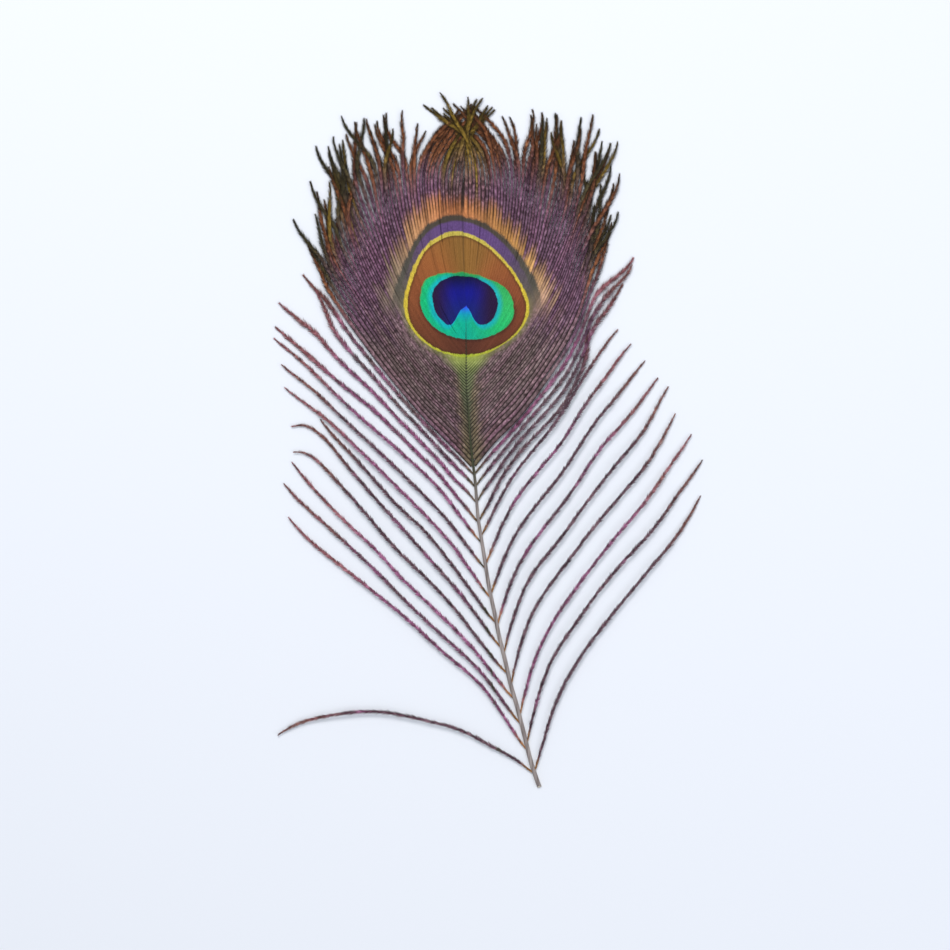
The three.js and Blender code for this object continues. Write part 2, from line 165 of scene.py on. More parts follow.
def smooth(a, b, x):
    t = np.clip((np.asarray(x, float) - a) / (b - a), 0, 1)
    return t * t * (3 - 2 * t)


def even(points, n):
    """points again, n of them, evenly spaced along the line"""
    d = np.r_[0, np.cumsum(np.linalg.norm(np.diff(points, axis=0), axis=1))]
    s = np.linspace(0, d[-1], n)
    return np.stack([np.interp(s, d, points[:, k]) for k in range(points.shape[1])], 1)


def bezier(p, n=PATH_POINTS):
    p0, p1, p2, p3 = (np.array(q, float) for q in p)
    t = np.linspace(0, 1, 400)[:, None]
    return even((1 - t) ** 3 * p0 + 3 * (1 - t) ** 2 * t * p1 + 3 * (1 - t) * t * t * p2 + t**3 * p3, n)


def spline(points, n=PATH_POINTS, fine=400):
    """a natural cubic spline through the points"""
    p = np.array(points, float)
    d = np.r_[0, np.cumsum(np.linalg.norm(np.diff(p[:, :2], axis=0), axis=1))]
    h = np.diff(d)
    m = len(p)
    a = np.zeros((m, m))
    a[0, 0] = a[-1, -1] = 1
    for i in range(1, m - 1):
        a[i, i - 1], a[i, i], a[i, i + 1] = h[i - 1], 2 * (h[i - 1] + h[i]), h[i]
    t = np.linspace(0, d[-1], fine)
    i = np.clip(np.searchsorted(d, t, side="right") - 1, 0, m - 2)
    u, v = (d[i + 1] - t) / h[i], (t - d[i]) / h[i]
    out = []
    for k in range(p.shape[1]):
        y = p[:, k]
        b = np.zeros(m)
        b[1:-1] = 6 * (np.diff(y)[1:] / h[1:] - np.diff(y)[:-1] / h[:-1])
        c = np.linalg.solve(a, b)
        out.append(u * y[i] + v * y[i + 1] + ((u**3 - u) * c[i] + (v**3 - v) * c[i + 1]) * h[i] ** 2 / 6)
    return even(np.stack(out, 1), n) if n else np.stack(out, 1)


SHAFT = spline(SHAFT_LINE, 0, 600)


def shaft_at(y):
    """centre x and width of the shaft at a height along the feather"""
    k = np.argsort(SHAFT[:, 1])
    return np.interp(y, SHAFT[k, 1], SHAFT[k, 0]), np.interp(y, SHAFT[k, 1], SHAFT[k, 2])


def wave(dice, n, length, knots_mm):
    """a smooth random line of n values along a barb, -1 to 1, with a knot about every knots_mm"""
    m = max(4, int(length / knots_mm) + 3)
    v = dice.uniform(-1, 1, m)
    x = np.linspace(0, m - 1.001, n)
    i = x.astype(int)
    f = x - i
    f = f * f * (3 - 2 * f)
    return v[i] * (1 - f) + v[i + 1] * f


LATTICE = rng.uniform(-1, 1, (97, 97))


def drift(a, b):
    """a smooth random value, -1 to 1, over two coordinates, so that neighbours share it"""
    a, b = np.broadcast_arrays(np.asarray(a, float) % 96, np.asarray(b, float) % 96)
    i, j = a.astype(int), b.astype(int)
    u, v = a - i, b - j
    u, v = u * u * (3 - 2 * u), v * v * (3 - 2 * v)
    return ((LATTICE[i, j] * (1 - u) + LATTICE[i + 1, j] * u) * (1 - v)
            + (LATTICE[i, j + 1] * (1 - u) + LATTICE[i + 1, j + 1] * u) * v)


def ring(table, theta):
    t = np.array(table, float)
    return np.interp(np.degrees(theta), t[:, 0], t[:, 1])


def polar(x, y):
    dx, dy = x - EYE[0], y - EYE[1]
    return np.hypot(dx, dy), np.arctan2(dx, dy)


# ---------------------------------------------------------------- the barbs' paths


def stations(eye, loose):
    lines = [bezier(b) for b in eye] + [spline(p) for p in loose]
    return np.array([line[0, 1] for line in lines]), np.array(lines)


def roots(first, last_close):
    """heights at which barbs leave the shaft, dense in the eye and wider apart below it"""
    out, y = [], first
    while y > last_close:
        out.append(y)
        y -= np.interp(y, [-30, -24, -16, -8, 0, 30, 54], [9.0, 8.0, 6.0, 3.2, 1.65, 1.15, 0.75])
    return out


def barb_paths(eye, loose, side, first):
    heights, lines = stations(eye, loose)
    order = np.argsort(heights)
    close = roots(first, heights[len(eye)] + 4.0)
    paths = []
    for y in close + [line[0, 1] for line in lines[len(eye):]]:
        i = np.clip(np.searchsorted(heights[order], y), 1, len(order) - 1)
        a, b = order[i - 1], order[i]
        f = np.clip((y - heights[a]) / (heights[b] - heights[a]), 0, 1)
        path = lines[a] * (1 - f) + lines[b] * f
        paths.append(path)
    return np.array(paths), len(close)


def make_barbs(eye, loose, side, first, stray=None):
    """[{path, z, ...}] for one side, from the midline outwards"""
    base, close = barb_paths(eye, loose, side, first)
    if stray is not None:
        base = np.concatenate([base, spline(stray)[None]])
    count = len(base)
    # in the plume, barbs lean together in twos to fives
    middle, pull, k = np.arange(count), np.zeros(count), 3
    while k < close:
        last = min(k + int(rng.integers(2, 6)), close)
        middle[k:last], pull[k:last] = (k + last) // 2, rng.uniform(0.0, 0.4)
        k = last
    pull *= 0.15 + 0.85 * smooth(-14.0, -4.0, base[:, 0, 1])
    gather = smooth(0.6, 1.0, np.linspace(0, 1, PATH_POINTS))[:, None] ** 1.3
    barbs = []
    for k in range(count):
        dice = np.random.default_rng([77, 2 + side, int(base[k][0, 1] * 10) + 2000])
        p = base[k] + (base[min(middle[k], close - 1)] - base[k]) * pull[k] * gather
        loose_barb = k >= close
        tip_x, tip_y = p[-1]
        tint, tint2 = dice.random(), dice.random()
        # it leaves the shaft at its side
        centre, width = shaft_at(p[0, 1])
        from_root = np.r_[0, np.cumsum(np.linalg.norm(np.diff(p, axis=0), axis=1))]
        p[:, 0] += (centre + side * 0.30 * width - p[0, 0]) * np.exp(-from_root / 4.0)
        # the strands in the middle of the plume arch over and cross, the inner ones lower down
        d = tip_x + 10.0
        join, short = 0.0, False
        if not loose_barb and tip_y > 118 and abs(d) < 30:
            short = abs(d) < 13 and dice.random() < 0.3
            join = (1 - smooth(17.0, 29.0, abs(d))) * (0.1 if short or dice.random() < 0.12 else 1.0)
            meet = 127.0 + 7.0 * smooth(2.0, 16.0, abs(d)) + dice.normal(0, 2.6)
            slope = dice.uniform(0.72, 1.1)
            bend = p[:, 1] - (meet - abs(p[-1, 0] - APEX[0]) / slope)
            up = 0.5 * (bend + np.sqrt(bend**2 + 70.0))
            p[:, 0] += np.sign(APEX[0] - tip_x) * slope * (up - up[0]) * join
            tint2 = dice.uniform(0.38, 0.45) if abs(d) < 9 else dice.uniform(0.0, 0.3)
        # overlong or trimmed tips
        shorter = 0.05 + 0.05 * drift(k * 0.45 + 3, side + 5.0) + dice.uniform(-0.045, 0.045)
        if loose_barb:
            shorter = dice.uniform(0.0, 0.025)
        elif short:
            shorter = dice.uniform(0.08, 0.25)
        elif tip_y > 118 and abs(d) < 20:
            shorter = dice.uniform(-0.02, 0.04)
        way = p[-1] - p[-4]
        p = np.concatenate([p, [p[-1] + way / np.linalg.norm(way) * 3.0]])
        run = np.r_[0, np.cumsum(np.linalg.norm(np.diff(p, axis=0), axis=1))]
        length = (run[-1] - 3.0) * (1 - shorter)
        s = np.linspace(0, min(length, run[-1]), PATH_POINTS)
        p = np.stack([np.interp(s, run, p[:, 0]), np.interp(s, run, p[:, 1])], 1)
        length = s[-1]
        t = s / length
        tangent = np.gradient(p, axis=0)
        tangent /= np.linalg.norm(tangent, axis=1)[:, None]
        across = np.stack([-tangent[:, 1], tangent[:, 0]], 1)
        r, theta = polar(p[:, 0], p[:, 1])
        beyond = r - ring(OLIVE, theta)
        outside = smooth(2.0, 24.0, beyond) * smooth(0.04, 0.25, t)
        # how far it strays, with its neighbours and alone
        key = 48.0 + side * (k + 0.5) * 0.18
        sway = 1.5 * drift(key, s / 27.0) + 0.36 * wave(dice, PATH_POINTS, length, 20)
        sway += t**2 * (2.0 * drift(key * 1.3, 30 + s / 30.0) + 0.7 * wave(dice, PATH_POINTS, length, 24))
        hook = 8.0 * drift(key * 2.4, 60.0) + 3.4 * dice.normal()
        curl = smooth(0.74, 1.0, t) ** 1.7 * np.clip(hook, -8.0, 8.0) * (1 - 0.6 * join)
        share = 0.5 if loose_barb else 1.0
        p = p + across * ((sway + curl * share) * share * outside)[:, None]
        s = np.r_[0, np.cumsum(np.linalg.norm(np.diff(p, axis=0), axis=1))]
        length = s[-1]
        t = s / length
        r, theta = polar(p[:, 0], p[:, 1])
        z = (0.55 + 0.45 * smooth(14.0, 30.0, base[k][0, 1])) * width + 0.72 * (1 - np.exp(-s / 9.0))
        if loose_barb:
            z += dice.uniform(0.7, 1.2) * np.sin(np.pi * np.minimum(1, t * 1.02)) ** 0.9
            z += 0.2 * wave(dice, PATH_POINTS, length, 30) * outside
        else:
            z += outside * (dice.uniform(-0.25, 0.75) + 0.22 * wave(dice, PATH_POINTS, length, 18))
        z -= (z - dice.uniform(0.32, 1.1)) * smooth(0.74, 1.0, t) * dice.uniform(0.5, 1.0)
        z = np.clip(z, 0.3, 2.7)
        barbs.append(dict(p=p, z=z, t=t, s=s, length=length, loose=loose_barb, root=base[k][0, 1], side=side,
                          r=r, theta=theta, outside=outside, n=k, tint=tint, tint2=tint2, short=short,
                          beyond=r - ring(OLIVE, theta)))
    return barbs


left = make_barbs(LEFT_EYE, LEFT_LOOSE, -1, 54.2, LEFT_STRAY)
right = make_barbs(RIGHT_EYE, RIGHT_LOOSE, 1, 53.5)


def midway(a, b, c, weight):
    """the line of barb b, drawn towards the middle between a and c"""
    middle = np.stack([0.5 * (np.interp(b["s"], a["s"], a["p"][:, j]) + np.interp(b["s"], c["s"], c["p"][:, j]))
                       for j in (0, 1)], 1)
    return b["p"] + (middle - b["p"]) * (weight * b["outside"])[:, None]


def settle(barbs, rounds=4):
    """draws each barb towards the middle between its neighbours, below the free tips; the short ones come last"""
    held = [b for b in barbs if not b["loose"]]
    long = [b for b in held if not b["short"]]
    for _ in range(rounds):
        moved = [midway(a, b, c, 0.4 * (1 - smooth(0.64, 0.9, b["t"]))) for a, b, c in zip(long, long[1:], long[2:])]
        for b, p in zip(long[1:], moved):
            b["p"] = p
    for b in held[1:]:
        if b["short"]:
            before = [a for a in long if a["n"] < b["n"]]
            after = [a for a in long if a["n"] > b["n"]]
            if before and after:
                b["p"] = midway(before[-1], b, after[0], 0.7)
    for b in held:
        b["r"], b["theta"] = polar(b["p"][:, 0], b["p"][:, 1])
        b["beyond"] = b["r"] - ring(OLIVE, b["theta"])


for barbs in (left, right):
    settle(barbs)
    for barb in barbs:
        barb["low"] = smooth(84.0, 114.0, np.abs(np.degrees(barb["theta"])))


def gap_to(barb, other):
    """distance from each point of a barb to the neighbour's line"""
    d = barb["p"][:, None] - other["p"][None]
    return np.sqrt((d * d).sum(2).min(1))


def slit_share(barb, x, y, run):
    """how open a slit through (x, y) is at each point of a barb: 1 in its middle, 0 at its ends"""
    d = np.hypot(barb["p"][:, 0] - x, barb["p"][:, 1] - y)
    return 1 - smooth(run * 0.55, run, d)


for barbs, others in ((left, right), (right, left)):
    for barb in barbs:  # the lowest of the held barbs stand apart, as the loose ones do
        barb["apart"] = 1.0 if barb["loose"] else float(1 - smooth(-12.0, -9.4, barb["root"]))
    for k, barb in enumerate(barbs):
        inner = barbs[k - 1] if k else others[0]
        outer = barbs[min(k + 1, len(barbs) - 1)]
        barb["inner_gap"] = gap_to(barb, inner)
        barb["outer_gap"] = gap_to(barb, outer) if outer is not barb else np.full(PATH_POINTS, 6.0)
        if outer["apart"] > 0.2 and not barb["loose"]:
            barb["outer_gap"] = np.minimum(barb["outer_gap"], 1.7)
        if barb["apart"] > 0.2:
            barb["inner_gap"] = np.minimum(barb["inner_gap"], 1.7)
        # share of the barb that is joined to its neighbours: all of it in the eye
        reach = 30.0 + 12.0 * (barb["tint"] - 0.5)
        inside = 1 - smooth(10.0, reach, barb["beyond"])
        near = 1 - smooth(34.0, 72.0, barb["s"])
        barb["closed"] = np.maximum(inside, near) * (1 - barb["apart"])
        barb["slit_in"] = np.zeros(PATH_POINTS)
        barb["slit_out"] = np.zeros(PATH_POINTS)
        if k == 0:
            y, run = MIDLINE_SLIT
            barb["slit_in"] = 0.5 * (1 - smooth(run * 0.5, run, np.abs(barb["p"][:, 1] - y)))

for barbs, slits in ((left, SLITS_LEFT), (right, SLITS_RIGHT)):
    held = [b for b in barbs if not b["loose"]]
    for x, y, run, strength in slits:
        near = [np.hypot(*((a["p"] - (x, y)).T)).min() + np.hypot(*((b["p"] - (x, y)).T)).min()
                for a, b in zip(held, held[1:])]
        k = int(np.argmin(near))
        held[k]["slit_out"] = np.maximum(held[k]["slit_out"], strength * slit_share(held[k], x, y, run))
        held[k + 1]["slit_in"] = np.maximum(held[k + 1]["slit_in"], strength * slit_share(held[k + 1], x, y, run))
    # small partings all over the fan
    for a, b in zip(held, held[1:]):
        if rng.random() < 0.55:
            middle, run, strength = rng.uniform(2.5, 7.0), rng.uniform(4.0, 8.0), rng.uniform(0.35, 0.9)
            for barb, key in ((a, "slit_out"), (b, "slit_in")):
                share = (1 - smooth(run * 0.5, run, np.abs(barb["beyond"] - middle))) * (barb["s"] > 14)
                barb[key] = np.maximum(barb[key], strength * share)

# ---------------------------------------------------------------- meshes


def add_mesh(name, verts, tris, attributes, uv, material, smooth_shading=True):
    """verts in mm, attributes {name: one number per vertex}, uv one pair per triangle corner"""
    mesh = bpy.data.meshes.new(name)
    mesh.vertices.add(len(verts))
    mesh.vertices.foreach_set("co", (verts * MM).astype(np.float32).ravel())
    mesh.loops.add(tris.size)
    mesh.loops.foreach_set("vertex_index", tris.astype(np.int32).ravel())
    mesh.polygons.add(len(tris))
    mesh.polygons.foreach_set("loop_start", np.arange(0, tris.size, 3, dtype=np.int32))
    mesh.polygons.foreach_set("use_smooth", np.full(len(tris), smooth_shading))
    mesh.update(calc_edges=True)
    for key, values in attributes.items():
        layer = mesh.attributes.new(key, "FLOAT", "POINT")
        layer.data.foreach_set("value", np.asarray(values, np.float32))
    layer = mesh.uv_layers.new(name="OFBake")
    layer.data.foreach_set("uv", uv.astype(np.float32).ravel())
    mesh.validate()
    mesh.materials.append(material)
    ob = bpy.data.objects.new(name, mesh)
    bpy.context.scene.collection.objects.link(ob)
    return ob


def along(barb, s, *names):
    return [np.interp(s, barb["s"], barb[n]) for n in names]


SIDE_REACH = 2.2  # mm each side of a ramus that the strip of its barb holds in the map


def ramus(barb):
    """the stem of one barb: a roof-shaped strip that closes the gap to its neighbours inside the eye,
    and a thin tapering stem outside it"""
    n = max(12, int(barb["length"] / STEP))
    s = np.linspace(0, barb["length"], n)
    t = s / barb["length"]
    p = np.stack([np.interp(s, barb["s"], barb["p"][:, k]) for k in (0, 1)], 1)
    z, closed, gap_in, gap_out, slit_in, slit_out, beyond, low = along(
        barb, s, "z", "closed", "inner_gap", "outer_gap", "slit_in", "slit_out", "beyond", "low")
    tangent = np.gradient(p, axis=0)
    tangent /= np.linalg.norm(tangent, axis=1)[:, None]
    out = np.stack([-tangent[:, 1], tangent[:, 0]], 1) * -barb["side"]  # towards the outer neighbour
    stem = np.interp(t, [0, 0.1, 0.6, 1], [0.26, 0.21, 0.15, 0.05]) * (1.1 if barb["loose"] else 1.0)
    # where two barbs have drawn far apart, the strip gives up reaching across
    w_out, w_in = (np.maximum(stem, closed * (gap * 0.53 + (0.7 - gap * 0.53) * smooth(2.8, 3.8, gap)))
                   for gap in (gap_out, gap_in))
    drop = 0.02 * closed
    rise = np.maximum(stem * 0.7, 0.05)
    # the eye is flat, and stems stand proud around it
    flat = closed * (1 - np.maximum(smooth(-1.0, 6.0, beyond), low * smooth(-3.0, 1.5, beyond)))
    crown = rise * (1 - flat) + 0.02 * flat
    ring_xy = [p + out * w_out[:, None], p, p - out * w_in[:, None], p]
    ring_z = [z - drop - 0.22 * slit_out, z + crown, z - drop - 0.22 * slit_in, z - rise - 0.04]
    verts = np.concatenate([np.stack([np.c_[xy, zz] for xy, zz in zip(ring_xy, ring_z)], 1).reshape(-1, 3)])
    verts[:, 2] = np.maximum(verts[:, 2], 0.05)
    lateral = np.stack([w_out, 0 * w_out, -w_in, 0 * w_out], 1).ravel()
    i = np.arange(n - 1)[:, None] * 4
    tris = []
    for a in range(4):
        b = (a + 1) % 4
        q = [i + a, i + b, i + 4 + b, i + 4 + a]
        tris += [np.c_[q[0], q[1], q[2]], np.c_[q[0], q[2], q[3]]]
    tris = np.concatenate(tris)
    last = (n - 1) * 4
    ends = np.array([[0, 2, 1], [0, 3, 2], [last, last + 1, last + 2], [last, last + 2, last + 3]])
    tris = np.concatenate([tris, ends])
    if barb["side"] > 0:
        tris = tris[:, ::-1]
    rim = np.maximum(0.2, closed)
    edge = np.stack([rim, 0 * closed, rim, 0 * closed], 1).ravel()
    slit = np.stack([slit_out, 0 * s, slit_in, 0 * s], 1).ravel()
    from_s = np.stack([s - w_out, s, s - w_in, s], 1).ravel()
    return verts, tris, np.repeat(s, 4), from_s, lateral, edge, slit, np.zeros(len(verts))


def barbules(barb):
    """short spikes along both sides of one barb, leaning towards its tip"""
    side = barb["side"]
    parts = []
    rate = np.interp(barb["closed"], [0.3, 0.95], [BARBULES_FREE, BARBULES_JOINED])
    so_far = np.r_[0, np.cumsum(0.5 * (rate[1:] + rate[:-1]) * np.diff(barb["s"]))]
    for which in (1, -1):  # outer side, inner side
        n = int(so_far[-1]) - 2
        s = np.interp(np.arange(n) + rng.uniform(0.1, 0.9, n), so_far, barb["s"])
        t = s / barb["length"]
        p = np.stack([np.interp(s, barb["s"], barb["p"][:, k]) for k in (0, 1)], 1)
        z, closed, outside = along(barb, s, "z", "closed", "outside")
        gap, slit = along(barb, s, *(("outer_gap", "slit_out") if which > 0 else ("inner_gap", "slit_in")))
        tangent = np.stack([np.interp(s, barb["s"], np.gradient(barb["p"][:, k])) for k in (0, 1)], 1)
        tangent /= np.linalg.norm(tangent, axis=1)[:, None]
        out = np.stack([-tangent[:, 1], tangent[:, 0]], 1) * (-side * which)
        beads = wave(rng, n, barb["length"], 1.5)
        lean_open = np.radians(35 + 8 * beads + rng.normal(0, 5, n) - (0 if barb["loose"] else 9) * smooth(0.84, 1.0, t))
        lean = np.where(closed > 0.6, np.radians(38 + rng.normal(0, 2.5, n)), lean_open)
        free = (1.8 + 0.22 * beads) * np.interp(t, [0, 0.05, 0.15], [0.4, 0.85, 1.0]) * (0.9 if barb["loose"] else 1.0)
        if not barb["loose"]:  # long enough to bridge the gap between two barbs, where they run side by side
            bridge = np.clip(gap, 0.9, 3.6) * 0.56 / np.sin(lean_open)
            free += (bridge - free) * (1 - smooth(0.60, 0.84, t)) * (1 - barb["apart"])
        wisp = 1.0 if barb["loose"] else 1.35
        free *= np.interp(barb["length"] - s, [0, 2.5, 8, 18, 30], [0.36 * wisp, 0.6 * wisp, 0.9 * wisp, wisp, 1.0])
        free *= rng.uniform(0.76, 1.16, n)
        joined = np.minimum(gap, 2.6) * (0.58 - 0.14 * slit) / np.sin(lean)
        size = free * (1 - closed) + joined * closed
        direction = tangent * np.cos(lean)[:, None] + out * np.sin(lean)[:, None]
        sideways = np.stack([-direction[:, 1], direction[:, 0]], 1)
        half = 0.5 * BARBULE_WIDTH * rng.uniform(0.8, 1.2, n) * np.interp(t, [0.8, 1], [1.0, 0.6])
        lift = np.where(which > 0, -0.02, 0.03) - 0.14 * slit + (1 - closed) * rng.normal(0.0, 0.16, n)
        root_z = z + 0.02 * closed
        a = np.c_[p + sideways * half[:, None], root_z - 0.02]
        b = np.c_[p - sideways * half[:, None], root_z - 0.02]
        c = np.c_[p, root_z + 0.025 + 0.02 * (1 - closed)]
        tip = np.c_[p + direction * size[:, None], z + lift]
        tip[:, 2] = np.maximum(tip[:, 2], 0.05)
        verts = np.stack([a, b, c, tip], 1).reshape(-1, 3)
        i = np.arange(n)[:, None] * 4
        tris = np.concatenate([np.c_[i, i + 2, i + 1], np.c_[i, i + 1, i + 3], np.c_[i + 1, i + 2, i + 3],
                               np.c_[i + 2, i, i + 3]])
        turned = ((b - a)[:, :2] * direction[:, ::-1] * np.array([1, -1])).sum(1)
        if turned.mean() > 0:
            tris = tris[:, ::-1]
        reach = size * np.sin(lean) * which
        lateral = np.stack([0 * s, 0 * s, 0 * s, reach], 1) + np.array([1, -1, 0, 0]) * half[:, None]
        ahead = np.stack([s, s, s, s + size * np.cos(lean)], 1)
        end = np.stack([0 * s, 0 * s, 0 * s, 1 + 0 * s], 1)
        parts.append((verts, tris, ahead.ravel(), np.repeat(s, 4), lateral.ravel(), end.ravel(), np.repeat(slit, 4),
                      end.ravel()))
    return parts


def build_piece(name, barbs, material):
    verts, tris, data, uvs = [], [], [], []
    base, n = 0, len(barbs)
    longest = max(b["length"] for b in barbs) + 1.5
    for k, barb in enumerate(barbs):
        for v, f, s, from_s, lateral, edge, slit, tip in [ramus(barb)] + barbules(barb):
            verts.append(v)
            tris.append(f + base)
            base += len(v)
            near = np.clip(s, 0, barb["length"])
            extra = [np.full(len(v), barb[key]) for key in ("tint", "tint2", "root")]
            data.append(np.stack([from_s, near / barb["length"], lateral, edge, slit, tip,
                                  np.full(len(v), barb["apart"])] + extra, 1))
            # each barb has a row in the map for its face and a narrow one for its underside
            from_side = np.clip(lateral / SIDE_REACH, -1, 1)
            rows = (k + 0.40 + 0.37 * from_side) / n, (k + 0.90 + 0.06 * from_side) / n
            uvs.append(np.stack([np.clip(s / longest, 0, 1), *rows], 1))
    verts, tris, data, uvs = (np.concatenate(x) for x in (verts, tris, data, uvs))
    a, b, c = (verts[tris[:, j]] for j in range(3))
    under = np.cross((b - a)[:, :2], (c - a)[:, :2]) < 0
    uvs = uvs[tris]
    uvs = np.stack([uvs[:, :, 0], np.where(under[:, None], uvs[:, :, 2], uvs[:, :, 1])], 2).reshape(-1, 2)
    names = ("barb_s", "barb_t", "barb_lateral", "barb_edge", "barb_slit", "barb_tip", "barb_loose", "barb_tint",
             "barb_tint2", "barb_root")
    return add_mesh(name, verts, tris, dict(zip(names, data.T)), uvs, material, smooth_shading=False)


# ---------------------------------------------------------------- node helpers


def srgb(r, g, b):
    out = []
    for v in (r, g, b):
        v /= 255
        out.append(v / 12.92 if v <= 0.04045 else ((v + 0.055) / 1.055) ** 2.4)
    return (*out, 1.0)


class Graph:
    """a few words for writing shader nodes"""

    def __init__(self, name):
        self.material = bpy.data.materials.new(name)
        self.material.use_nodes = True
        self.tree = self.material.node_tree
        self.tree.nodes.clear()
        self.out = self.new("ShaderNodeOutputMaterial")
        self.bsdf = self.new("ShaderNodeBsdfPrincipled")
        self.join(self.bsdf.outputs[0], self.out.inputs[0])

    def new(self, kind, **settings):
        node = self.tree.nodes.new(kind)
        for key, value in settings.items():
            setattr(node, key, value)
        return node

    def join(self, a, b):
        self.tree.links.new(a, b)

    def put(self, socket, value):
        if isinstance(value, bpy.types.NodeSocket):
            self.join(value, socket)
        else:
            socket.default_value = value

    def math(self, op, a, b=None, c=None, clamp=False):
        node = self.new("ShaderNodeMath", operation=op, use_clamp=clamp)
        for socket, value in zip(node.inputs, (a, b, c)):
            if value is not None:
                self.put(socket, value)
        return node.outputs[0]

    def add(self, a, b):
        return self.math("ADD", a, b)

    def sub(self, a, b):
        return self.math("SUBTRACT", a, b)

    def mul(self, a, b):
        return self.math("MULTIPLY", a, b)

    def step(self, x, low, high):
        """0 below low, 1 above high, smooth between"""
        node = self.new("ShaderNodeMapRange", interpolation_type="SMOOTHSTEP", clamp=True)
        self.put(node.inputs[0], x)
        self.put(node.inputs[1], low)
        self.put(node.inputs[2], high)
        return node.outputs[0]

    def mix(self, factor, a, b, blend="MIX"):
        node = self.new("ShaderNodeMix", data_type="RGBA", blend_type=blend)
        self.put(node.inputs[0], factor)
        self.put(node.inputs[6], a)
        self.put(node.inputs[7], b)
        return node.outputs[2]

    def scaled(self, colour, factor):
        node = self.new("ShaderNodeVectorMath", operation="SCALE")
        self.join(colour, node.inputs[0])
        self.put(node.inputs["Scale"], factor)
        return node.outputs[0]

    def attribute(self, name):
        return self.new("ShaderNodeAttribute", attribute_name=name).outputs["Fac"]

    def curve(self, x, points, top):
        """a line through (angle, radius) points: x is 0 to 1 for -180 to 180 degrees, and the result is in mm"""
        node = self.new("ShaderNodeFloatCurve")
        line = node.mapping.curves[0]
        node.mapping.use_clip = False
        for k, (angle, radius) in enumerate(points):
            at = ((angle + 180) / 360, radius / top)
            if k < 2:
                point = line.points[0] if k == 0 else line.points[-1]
                point.location = at
            else:
                point = line.points.new(*at)
        for point in line.points:
            point.handle_type = "AUTO"
        node.mapping.update()
        self.put(node.inputs["Value"], x)
        return self.mul(node.outputs[0], top)

    def line(self, x, low, high, points):
        """a broken line through (x, value) points, with values from 0 to 1, for x from low to high"""
        node = self.new("ShaderNodeMapRange", clamp=True)
        self.put(node.inputs[0], x)
        self.put(node.inputs[1], low)
        self.put(node.inputs[2], high)
        stops = [((at - low) / (high - low), value) for at, value in points]
        ramp = self.new("ShaderNodeValToRGB")
        elements = ramp.color_ramp.elements
        for k, (at, value) in enumerate(stops):
            element = elements[k] if k < 2 else elements.new(at)
            element.position = at
            element.color = (value, value, value, 1.0)
        self.join(node.outputs[0], ramp.inputs[0])
        return ramp.outputs[0]

    def ramp(self, x, stops, kind="LINEAR"):
        node = self.new("ShaderNodeValToRGB")
        node.color_ramp.interpolation = kind
        elements = node.color_ramp.elements
        for k, (at, colour) in enumerate(stops):
            element = elements[k] if k < 2 else elements.new(at)
            element.position = at
            element.color = srgb(*colour)
        self.put(node.inputs[0], x)
        return node.outputs[0]

    def noise(self, vector, scale, detail=2.0, roughness=0.5):
        node = self.new("ShaderNodeTexNoise", noise_dimensions="3D")
        self.put(node.inputs["Vector"], vector)
        node.inputs["Scale"].default_value = scale
        node.inputs["Detail"].default_value = detail
        node.inputs["Roughness"].default_value = roughness
        return node.outputs["Fac"]

    def vector(self, x, y, z):
        node = self.new("ShaderNodeCombineXYZ")
        for socket, value in zip(node.inputs, (x, y, z)):
            self.put(socket, value)
        return node.outputs[0]


def turn(*stops):
    """ramp stops given by angle from straight up"""
    return [((angle + 180) / 360, colour) for angle, colour in stops]


# ---------------------------------------------------------------- barb material


